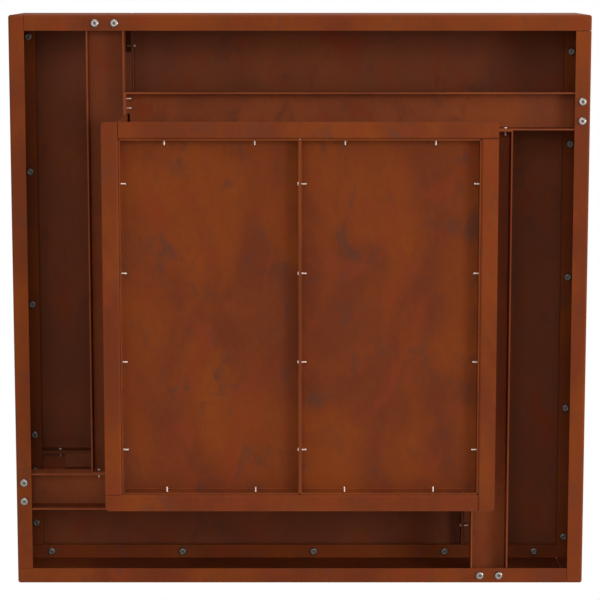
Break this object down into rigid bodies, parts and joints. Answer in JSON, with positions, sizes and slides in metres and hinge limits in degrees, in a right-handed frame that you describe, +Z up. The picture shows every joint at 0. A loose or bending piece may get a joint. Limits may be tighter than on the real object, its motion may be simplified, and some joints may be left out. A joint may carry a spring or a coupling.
{
  "type": "planter box",
  "caption": "Square weathering-steel planter: a bolted sheet-metal tub for soil, ringed by a raised deck on channel beams with a hanging skirt.",
  "frame": {"origin": "on the ground under the middle of the tub, at the underside of the foot flanges", "axes": "+Z up; X and Y along the square sides, with the floor pans' seam along Y"},
  "size_m": [1.2, 1.2, 0.45],
  "materials": {
    "weathering_steel": "stable rust patina on mill steel, matt to satin, orange brown with darker patches",
    "stainless": "stainless, satin, slightly dusty"
  },
  "bodies": {
    "root": {"beam_joint_screws": "stainless", "beam_tub_screws": "stainless", "channel_beam_east": "weathering_steel", "channel_beam_north": "weathering_steel", "channel_beam_south": "weathering_steel", "channel_beam_west": "weathering_steel", "deck_rim_nuts": "stainless", "deck_rim_screws": "stainless", "deck_tray_east": "weathering_steel", "deck_tray_north": "weathering_steel", "deck_tray_south": "weathering_steel", "deck_tray_west": "weathering_steel", "deck_tub_nuts": "stainless", "deck_tub_screws": "stainless", "floor_pan_east": "weathering_steel", "floor_pan_west": "weathering_steel", "pan_seam_screws": "stainless", "pan_wall_screws": "stainless", "rim_nuts": "stainless", "rim_screws": "stainless", "skirt_panel_east": "weathering_steel", "skirt_panel_north": "weathering_steel", "skirt_panel_south": "weathering_steel", "skirt_panel_west": "weathering_steel", "tray_seam_screws": "stainless", "tub_lap_screws": "stainless", "tub_wall_east": "weathering_steel", "tub_wall_north": "weathering_steel", "tub_wall_south": "weathering_steel", "tub_wall_west": "weathering_steel"}
  },
  "joints": []
}
